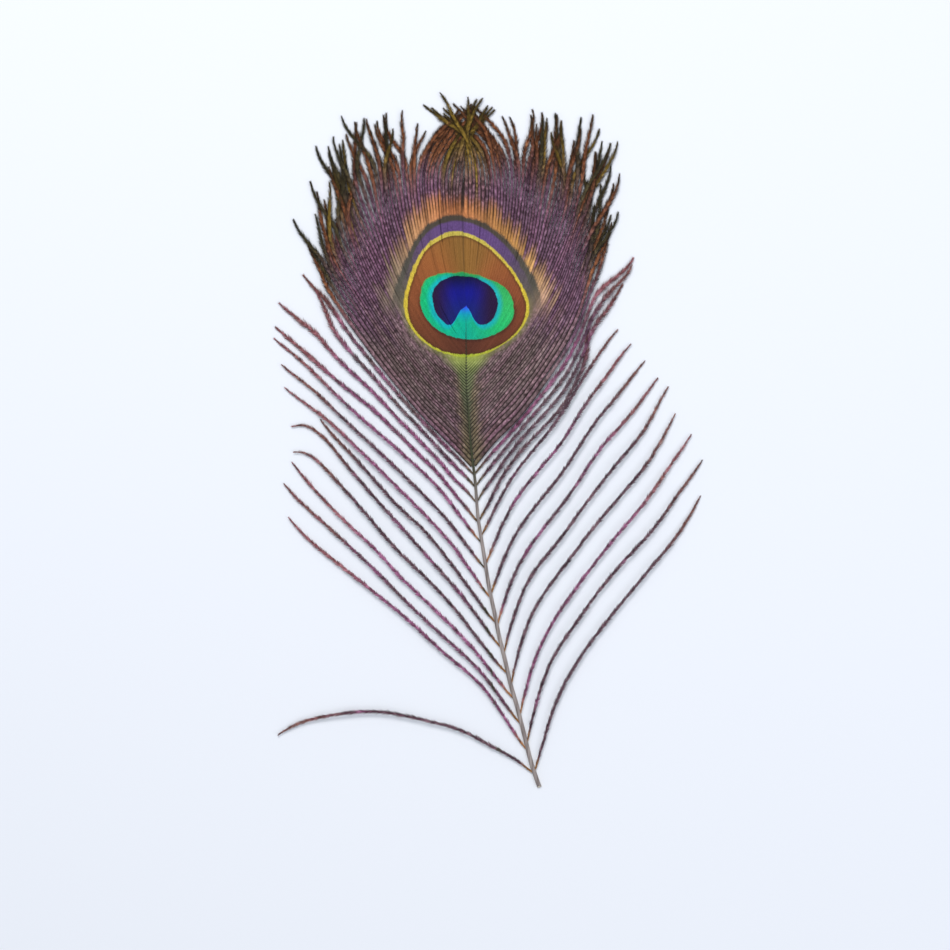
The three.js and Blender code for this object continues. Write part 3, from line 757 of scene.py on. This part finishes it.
def barb_material():
    g = Graph("peacock_barbs")
    place = g.new("ShaderNodeTexCoord").outputs["Object"]
    split = g.new("ShaderNodeSeparateXYZ")
    g.join(place, split.inputs[0])
    dx = g.sub(g.mul(split.outputs[0], 1000.0), EYE[0])
    dy = g.sub(g.mul(split.outputs[1], 1000.0), EYE[1])
    r = g.math("SQRT", g.add(g.mul(dx, dx), g.mul(dy, dy)))
    u = g.add(g.mul(g.math("ARCTAN2", dx, dy), 1 / (2 * math.pi)), 0.5)
    angle = g.mul(g.math("ABSOLUTE", g.sub(u, 0.5)), 360.0)  # from straight up, either way
    s, t = g.attribute("barb_s"), g.attribute("barb_t")
    lateral, edge, slit = g.attribute("barb_lateral"), g.attribute("barb_edge"), g.attribute("barb_slit")
    loose, tint, tint2, root = (g.attribute("barb_" + n) for n in ("loose", "tint", "tint2", "root"))
    jitter = g.sub(tint, 0.5)
    jitter2 = g.sub(tint2, 0.5)
    streaks = g.noise(g.vector(g.mul(s, 3.0), g.mul(tint, 91.0), g.mul(lateral, 1.2)), 1.0, 2.0)
    saw = g.sub(streaks, 0.5)

    def edge_at(table, spread, blur, shift=0.0, other=False):
        """0 inside a ring's outer line and 1 outside it; the line steps from barb to barb and is finely toothed"""
        line = g.curve(u, table, 45.0)
        steps = g.add(g.mul(jitter2 if other else jitter, spread), g.mul(saw, 2.6 * spread))
        d = g.sub(g.add(r, steps), g.add(line, shift))
        return g.step(d, -blur, blur), d

    # heart: royal blue, near black at the lobes, teal above the notch
    side = g.step(g.math("ABSOLUTE", g.add(dx, 1.0)), 2.5, 11.5)
    low = g.step(g.mul(dy, -1.0), -1.0, 10.0)
    heart = g.mix(low, srgb(14, 16, 134), srgb(18, 32, 110))
    top_edge = g.step(dy, -1.0, 7.0)
    heart = g.mix(top_edge, heart, srgb(6, 6, 50))
    heart = g.mix(side, heart, srgb(36, 15, 56))

    green = g.ramp(u, turn((-180, (4, 172, 146)), (-140, (8, 180, 128)), (-100, (14, 184, 116)), (-60, (18, 174, 116)),
                           (-25, (28, 148, 92)), (15, (30, 144, 88)), (60, (34, 160, 96)), (100, (54, 180, 96)),
                           (140, (28, 180, 106)), (180, (4, 172, 146))))
    green = g.scaled(green, g.add(0.74, g.mul(streaks, 0.52)))
    in_heart, d_heart = edge_at(HEART, 0.3, 0.22)
    cyan = g.mul(g.sub(1.0, g.step(d_heart, 0.3, 3.0)), g.step(angle, 26.0, 66.0))
    green = g.mix(g.mul(cyan, 0.72), green, srgb(6, 172, 200))
    notch = g.mul(g.sub(1.0, g.step(r, 5.6, 13.0)), g.step(g.mul(dy, -1.0), 2.0, 5.0))
    deep = g.sub(1.0, g.step(r, 5.0, 9.6))
    blue = g.mix(deep, srgb(4, 150, 206), srgb(50, 74, 240))
    green = g.mix(notch, green, blue)

    bronze = g.ramp(u, turn((-180, (90, 49, 36)), (-130, (112, 62, 38)), (-85, (138, 78, 44)), (-45, (150, 91, 47)),
                            (-10, (138, 98, 46)), (20, (138, 96, 46)), (50, (148, 88, 47)), (85, (136, 74, 44)),
                            (130, (110, 58, 37)), (180, (90, 49, 36))))
    yellow = g.ramp(u, turn((-180, (166, 180, 58)), (-140, (194, 186, 60)), (-90, (212, 184, 62)), (0, (196, 180, 84)),
                            (90, (212, 188, 62)), (140, (194, 186, 60)), (180, (166, 180, 58))))
    yellow = g.scaled(yellow, g.add(0.62, g.mul(streaks, 0.66)))
    purple = g.ramp(u, turn((-120, (106, 98, 82)), (-88, (94, 87, 78)), (-64, (90, 78, 86)), (-42, (94, 72, 110)),
                            (-15, (98, 71, 124)), (20, (98, 71, 124)), (50, (94, 72, 112)), (72, (90, 78, 90)),
                            (92, (94, 87, 78)), (120, (106, 98, 82))))
    purple = g.scaled(purple, g.add(0.56, g.mul(streaks, 0.80)))
    olive = g.ramp(u, turn((-120, (96, 90, 76)), (-70, (80, 77, 70)), (-20, (70, 62, 54)),
                           (30, (74, 66, 56)), (80, (82, 78, 70)), (120, (96, 90, 76))))

    # barbs outside the eye: beads of mauve and dark brown along each barb; the light beads are partly painted highlight
    # (pinkish glints on the barbules) over the barbs' own colour
    strand = g.mul(tint, 91.0)
    beads = g.noise(g.vector(g.mul(s, 0.66), strand, g.mul(lateral, 0.5)), 1.0, 3.0, 0.62)
    waves = g.noise(g.vector(g.mul(s, 0.09), strand, 7.0), 1.0, 2.0)
    mauve = g.ramp(beads, [(0.30, (58, 38, 50)), (0.44, (88, 61, 80)), (0.56, (114, 83, 105)), (0.70, (148, 114, 138))])
    brown = g.ramp(beads, [(0.32, (44, 32, 28)), (0.45, (78, 58, 50)), (0.58, (112, 86, 76)), (0.70, (158, 126, 114))])
    grey = g.ramp(beads, [(0.30, (60, 50, 46)), (0.45, (96, 82, 78)), (0.58, (124, 106, 102)), (0.72, (160, 140, 134))])
    _, beyond = edge_at(OLIVE, 0.0, 0.5)
    central = g.sub(1.0, g.step(angle, 8.0, 24.0))  # browner in the middle of the plume
    far = g.add(g.add(g.add(beyond, g.mul(jitter2, 18.0)), g.mul(g.sub(waves, 0.5), 30.0)), g.mul(central, 22.0))
    barb = g.mix(g.mul(g.step(far, 14.0, 48.0), g.sub(1.0, g.mul(loose, 0.6))), mauve, brown)
    lowly = g.mul(g.step(g.add(angle, g.mul(jitter, 30.0)), 96.0, 128.0), g.sub(1.0, g.step(beyond, 6.0, 46.0)))
    barb = g.mix(g.mul(lowly, 0.85), barb, grey)
    # painted sheen: magenta highlight patches along stretches of the barbs, faint on the held barbs and strongest on
    # the loose ones
    magenta_sheen = g.ramp(beads, [(0.32, (76, 44, 60)), (0.45, (122, 72, 100)), (0.57, (160, 94, 136)), (0.70, (204, 136, 178))])
    shine = g.mul(g.step(g.add(waves, g.mul(jitter, 0.5)), 0.38, 0.62), g.add(0.16, g.mul(loose, 0.66)))
    barb = g.mix(shine, barb, magenta_sheen)

    # tips: rust on some barbs, olive on others
    toward = g.add(g.add(t, g.mul(jitter, 0.14)), g.mul(central, 0.06))
    rust = g.ramp(beads, [(0.30, (58, 35, 24)), (0.48, (106, 64, 41)), (0.62, (146, 92, 60)), (0.76, (184, 130, 90))])
    mossy = g.ramp(beads, [(0.30, (36, 32, 22)), (0.48, (64, 56, 38)), (0.62, (92, 82, 52)), (0.78, (128, 114, 72))])
    gilt = g.ramp(beads, [(0.30, (64, 50, 20)), (0.48, (112, 90, 36)), (0.62, (150, 122, 52)), (0.76, (186, 156, 80))])
    tips = g.mix(g.step(tint2, 0.32, 0.37), rust, gilt)
    tips = g.mix(g.step(tint2, 0.46, 0.50), tips, mossy)
    tips = g.mix(loose, tips, g.ramp(beads, [(0.3, (84, 50, 46)), (0.5, (140, 90, 76)), (0.7, (192, 136, 116))]))
    barb = g.mix(g.mul(g.step(toward, 0.66, 0.88), g.sub(1.0, g.mul(loose, 0.4))), barb, tips)
    end = g.mul(g.step(g.add(t, g.mul(jitter2, 0.08)), 0.86, 0.97), g.sub(1.0, loose))
    barb = g.mix(g.mul(end, 0.72), barb, srgb(50, 46, 32))

    # gold at the roots under the eye
    gold = g.ramp(beads, [(0.3, (74, 67, 50)), (0.5, (112, 102, 74)), (0.7, (152, 140, 106))])
    amber = g.ramp(beads, [(0.3, (112, 74, 34)), (0.5, (170, 118, 56)), (0.7, (208, 160, 92))])
    gold = g.mix(g.step(root, -22.0, -44.0), gold, amber)
    reach = g.add(8.5, g.mul(jitter, 5.0))
    barb = g.mix(g.mul(g.sub(1.0, g.step(s, 1.5, reach)), 0.8), barb, gold)

    # a green wedge below the eye, which narrows to the shaft
    shaft_x = g.add(0.13, g.mul(g.math("MAXIMUM", 0.0, g.sub(-40.0, dy)), 0.09))
    wide = g.mul(g.line(dy, -78.0, -22.0, [(-78, 0.05), (-60, 0.07), (-50, 0.11), (-42, 0.20), (-37, 0.25),
                                           (-33, 0.34), (-28, 0.80), (-22, 1.0)]), 10.0)
    from_shaft = g.math("ABSOLUTE", g.sub(dx, shaft_x))
    wedge = g.sub(1.0, g.step(g.add(from_shaft, g.mul(jitter, 0.8)), g.mul(wide, 0.4), g.add(g.mul(wide, 1.2), 0.8)))
    down = g.math("MULTIPLY", g.add(dy, 74.0), 1 / 52.0, clamp=True)
    lime = g.ramp(down, [(0.0, (84, 74, 62)), (0.30, (84, 78, 64)), (0.47, (86, 85, 68)), (0.61, (96, 102, 78)),
                         (0.78, (116, 128, 86)), (0.89, (142, 154, 80)), (1.0, (176, 188, 60))])
    lime = g.scaled(lime, g.add(0.55, g.mul(beads, 0.9)))
    below = g.mul(wedge, g.step(g.mul(dy, -1.0), 14.0, 22.0))
    barb = g.mix(g.mul(below, 0.9), barb, lime)

    # the fan around the eye: orange at the top, gold on the right, beige down the sides
    fan = g.ramp(u, turn((-130, (112, 96, 84)), (-100, (132, 116, 102)), (-70, (158, 134, 110)),
                         (-40, (190, 140, 98)), (-10, (200, 126, 80)), (12, (180, 122, 76)), (40, (208, 150, 84)),
                         (66, (212, 162, 98)), (92, (198, 158, 128)), (115, (158, 128, 112)), (135, (112, 96, 84))))
    fan = g.scaled(fan, g.add(0.42, g.add(g.mul(beads, 0.82), g.mul(jitter, 0.4))))

    # rings, from the outside in
    line = g.curve(u, FAN, 45.0)
    d_fan = g.sub(g.add(r, g.add(g.mul(jitter2, 7.0), g.mul(g.sub(waves, 0.5), 7.0))), line)
    out_fan = g.math("MAXIMUM", g.step(d_fan, -4.8, 3.0), g.step(angle, 88.0, 116.0))
    colour = g.mix(out_fan, fan, barb)
    fades = g.step(angle, 84.0, 114.0)
    out_olive, _ = edge_at(OLIVE, 0.7, 0.7)
    colour = g.mix(g.math("MAXIMUM", out_olive, fades), olive, colour)
    out_purple, _ = edge_at(PURPLE, 0.5, 0.45, 0.0, True)
    colour = g.mix(g.math("MAXIMUM", out_purple, fades), purple, colour)
    slimmer = g.sub(-0.44, g.mul(g.step(angle, 80.0, 140.0), 0.26))
    out_yellow, d_yellow = edge_at(YELLOW, 0.4, 0.26, slimmer)
    glow = g.mul(g.mul(g.sub(1.0, g.step(d_yellow, 0.0, 2.6)), fades), g.sub(1.0, below))
    colour = g.mix(g.mul(glow, 0.55), colour, srgb(122, 124, 64))
    colour = g.mix(out_yellow, yellow, colour)
    out_bronze, d_bronze = edge_at(BRONZE, 0.3, 0.24, 0.0, True)
    rim = g.step(d_bronze, -1.4, -0.1)
    bronze = g.mix(g.mul(rim, 0.6), bronze, srgb(74, 46, 24))
    colour = g.mix(out_bronze, bronze, colour)
    out_green, d_green = edge_at(GREEN, 0.35, 0.2)
    leafy = g.mul(g.step(d_green, -0.9, -0.1), g.step(dy, -6.0, 4.0))
    green = g.mix(g.mul(leafy, 0.6), green, srgb(84, 156, 60))
    dark_rim = g.mul(g.sub(1.0, g.step(d_green, 0.0, 1.6)), g.step(g.mul(dy, -1.0), -4.0, 8.0))
    colour = g.mix(g.mul(dark_rim, 0.6), colour, srgb(42, 22, 20))
    colour = g.mix(out_green, green, colour)
    colour = g.mix(in_heart, heart, colour)
    # a dark line where the rachis runs up through the eye
    middle = g.mul(g.sub(1.0, g.step(from_shaft, 0.1, 0.55)), g.step(g.mul(dy, -1.0), 6.0, 26.0))
    colour = g.mix(g.mul(middle, 0.5), colour, srgb(34, 44, 30))

    # each barb a little lighter or darker than the next, with fine streaks along its barbules
    colour = g.scaled(colour, g.add(1.0, g.add(g.mul(jitter, 0.22), g.mul(saw, 0.4))))
    # painted shade: near black where barbs meet, most of all outside the rings and along the slits, for the shadowed
    # gaps and grooves between barbs
    outer = g.math("MAXIMUM", g.step(beyond, -1.0, 5.0), g.mul(fades, g.step(beyond, -3.0, 1.5)))
    away = g.math("MAXIMUM", g.step(edge, 0.36, 0.86), g.step(g.math("ABSOLUTE", lateral), 0.46, 0.92))
    between = g.add(g.mul(g.step(edge, 0.8, 1.0), g.mul(g.sub(1.0, outer), g.mul(tint2, 0.12))),
                    g.mul(away, g.mul(outer, g.sub(0.9, g.mul(loose, 0.75)))))
    parted = g.mul(g.step(edge, 0.55, 0.92), g.mul(slit, 0.9))
    colour = g.mix(g.math("MAXIMUM", between, parted), colour, (0.012, 0.008, 0.006, 1.0))
    # the underside is dull brown, and the eye shows on it only faintly
    facing = g.new("ShaderNodeSeparateXYZ")
    g.join(g.new("ShaderNodeTexCoord").outputs["Normal"], facing.inputs[0])
    under = g.sub(1.0, g.step(facing.outputs[2], -0.12, 0.0))
    dull = g.scaled(g.mix(0.5, srgb(92, 78, 66), srgb(112, 98, 84)), g.add(0.7, g.mul(beads, 0.6)))
    colour = g.mix(g.mul(under, g.sub(0.80, g.mul(outer, 0.3))), colour, dull)
    g.join(colour, g.bsdf.inputs["Base Color"])
    g.bsdf.inputs["Roughness"].default_value = 0.44
    g.bsdf.inputs["Metallic"].default_value = 0.25
    g.bsdf.inputs["Specular IOR Level"].default_value = 0.16
    return g.material


def shaft_material():
    g = Graph("feather_shaft")
    place = g.new("ShaderNodeTexCoord").outputs["Object"]
    split = g.new("ShaderNodeSeparateXYZ")
    g.join(place, split.inputs[0])
    y = g.mul(split.outputs[1], 1000.0)
    z = g.mul(split.outputs[2], 1000.0)
    around = g.attribute("shaft_up")
    streak = g.noise(g.vector(g.mul(split.outputs[0], 2400.0), g.mul(split.outputs[1], 60.0), z), 1.0, 3.0)
    patch = g.noise(g.vector(0.0, g.mul(split.outputs[1], 90.0), 3.0), 1.0, 2.0)
    back = g.ramp(g.add(streak, g.mul(g.sub(patch, 0.5), 0.5)),
                  [(0.3, (104, 94, 90)), (0.5, (140, 130, 128)), (0.72, (172, 162, 158))])
    dark = g.ramp(streak, [(0.3, (38, 42, 28)), (0.6, (68, 72, 46))])
    back = g.mix(g.step(y, -30.0, -6.0), back, dark)
    under = g.ramp(streak, [(0.3, (168, 150, 126)), (0.7, (206, 192, 170))])
    colour = g.mix(g.step(around, -0.15, 0.35), under, back)
    cut = g.attribute("shaft_cut")
    pith = g.noise(g.vector(g.mul(split.outputs[0], 6000.0), y, g.mul(z, 6.0)), 1.0, 2.0)
    colour = g.mix(cut, colour, g.ramp(pith, [(0.35, (196, 182, 158)), (0.65, (236, 228, 212))]))
    g.join(colour, g.bsdf.inputs["Base Color"])
    g.bsdf.inputs["Roughness"].default_value = 0.5
    g.bsdf.inputs["Specular IOR Level"].default_value = 0.3
    return g.material


# ---------------------------------------------------------------- shaft


def build_shaft(material):
    """quill and rachis in one: rounded above, with a shallow groove along the flat underside, cut slantwise"""
    n, sides = 280, 20
    line = SHAFT[np.linspace(0, len(SHAFT) - 1, n).astype(int)]
    line = np.stack([np.interp(np.linspace(0, 1, n), np.linspace(0, 1, len(SHAFT)), SHAFT[:, k]) for k in range(3)], 1)
    tangent = np.gradient(line[:, :2], axis=0)
    tangent /= np.linalg.norm(tangent, axis=1)[:, None]
    across = np.stack([-tangent[:, 1], tangent[:, 0]], 1)
    verts, up, cut = [], [], []
    for i in range(n):
        half = line[i, 2] / 2
        tall = line[i, 2] * 0.94
        for k in range(sides):
            a = 2 * math.pi * (k + 0.5) / sides
            x, zz = half * math.cos(a), tall * (0.46 + 0.54 * math.sin(a))
            if math.sin(a) < -0.6:
                zz = max(0.0, zz) + 0.06 * tall * (1 - abs(math.cos(a)) / 0.8)
            zz = max(0.0, zz)
            q = line[i, :2] + across[i] * x
            if i == n - 1:
                q = q + tangent[i] * (0.5 - zz * 0.55)
            verts.append((q[0], q[1], zz))
            up.append(math.sin(a))
            cut.append(0.0)
    tris = []
    for i in range(n - 1):
        for k in range(sides):
            a, b = i * sides + k, i * sides + (k + 1) % sides
            tris += [(a, b, b + sides), (a, b + sides, a + sides)]
    # cut end: a rim of horn around the pith, set back a little
    last = (n - 1) * sides
    middle = np.mean(verts[last:last + sides], axis=0)
    inner = len(verts)
    for scale, back in ((0.78, 0.0), (0.7, 0.10)):
        for k in range(sides):
            v = middle + (np.array(verts[last + k]) - middle) * scale
            v[:2] -= tangent[-1] * back
            verts.append(tuple(v))
            up.append(0.0)
            cut.append(1.0 if back else 0.3)
    verts.append(tuple(middle - np.r_[tangent[-1] * 0.12, 0]))
    up.append(0.0)
    cut.append(1.0)
    for k in range(sides):
        j = (k + 1) % sides
        tris += [(last + k, last + j, inner + j), (last + k, inner + j, inner + k)]
        tris += [(inner + k, inner + j, inner + sides + j), (inner + k, inner + sides + j, inner + sides + k)]
        tris.append((inner + sides + k, inner + sides + j, len(verts) - 1))
    for k in range(1, sides - 1):
        tris.append((0, k + 1, k))
    verts, tris = np.array(verts), np.array(tris)
    where = np.arange(len(verts))
    row = np.minimum(where // sides, n - 1) / (n - 1)
    uv = np.stack([np.clip(row, 0, 1), (where % sides + 0.5) / sides], 1)
    return add_mesh("shaft_horn", verts, tris, {"shaft_up": up, "shaft_cut": cut}, uv[tris.ravel()], material)


# ---------------------------------------------------------------- build

barbs_look = barb_material()
groups = {}
for word, barbs in (("left", left), ("right", right)):
    held = [b for b in barbs if not b["loose"]]
    groups[word + "_eye_barbs"] = held[:26]
    groups[word + "_fan_barbs"] = held[26:44]
    groups[word + "_flank_barbs"] = held[44:]
    groups[word + "_loose_barbs"] = [b for b in barbs if b["loose"]]
report = {}
for name, group in groups.items():
    piece = build_piece(name, group, barbs_look)
    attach(piece, "root")
    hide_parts(name.split("_")[0] + "_vane")
    report[name] = [len(group), len(piece.data.polygons)]
horn = build_shaft(shaft_material())
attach(horn, "root")
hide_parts("shaft")
report["shaft_horn"] = len(horn.data.polygons)
print("PIECES", json.dumps(report), sum(v if isinstance(v, int) else v[1] for v in report.values()))

# ---------------------------------------------------------------- stage


def floor_and_light():
    mesh = bpy.data.meshes.new("floor")
    mesh.from_pydata([(-4, -4, -0.00006), (4, -4, -0.00006), (4, 4, -0.00006), (-4, 4, -0.00006)], [], [(0, 1, 2, 3)])
    floor = bpy.data.objects.new("floor", mesh)
    bpy.context.scene.collection.objects.link(floor)
    g = Graph("floor_paper")
    g.bsdf.inputs["Base Color"].default_value = srgb(236, 240, 248)
    g.bsdf.inputs["Roughness"].default_value = 0.9
    g.bsdf.inputs["Specular IOR Level"].default_value = 0.15
    mesh.materials.append(g.material)
    world = bpy.data.worlds.new("studio")
    bpy.context.scene.world = world
    world.use_nodes = True
    world.node_tree.nodes["Background"].inputs[0].default_value = (0.90, 0.94, 1.0, 1)
    world.node_tree.nodes["Background"].inputs[1].default_value = 0.51
    for name, at, size, power, colour in (
        ("key_light", (-0.22, 0.80, 1.28), 0.7, 14.0, (1.0, 0.98, 0.95)),
        ("fill_light", (0.9, -0.4, 1.1), 0.9, 4.4, (0.95, 0.97, 1.0)),
    ):
        data = bpy.data.lights.new(name, "AREA")
        data.size = size
        data.energy = power
        data.color = colour
        lamp = bpy.data.objects.new(name, data)
        lamp.location = at
        bpy.context.scene.collection.objects.link(lamp)
        direction = np.array([0, 0, 0]) - np.array(at)
        from mathutils import Vector
        lamp.rotation_euler = Vector(direction).to_track_quat("-Z", "Y").to_euler()


floor_and_light()
camera_data = bpy.data.cameras.new("camera")
camera_data.lens = 85.0
camera_data.sensor_width = 36.0
camera_data.clip_start = 0.01
camera = bpy.data.objects.new("camera", camera_data)
camera.location = (-0.0052, -0.01264, 0.380 * 85.0 / 36.0)
bpy.context.scene.collection.objects.link(camera)
bpy.context.scene.camera = camera
bpy.context.scene.view_settings.view_transform = "Standard"
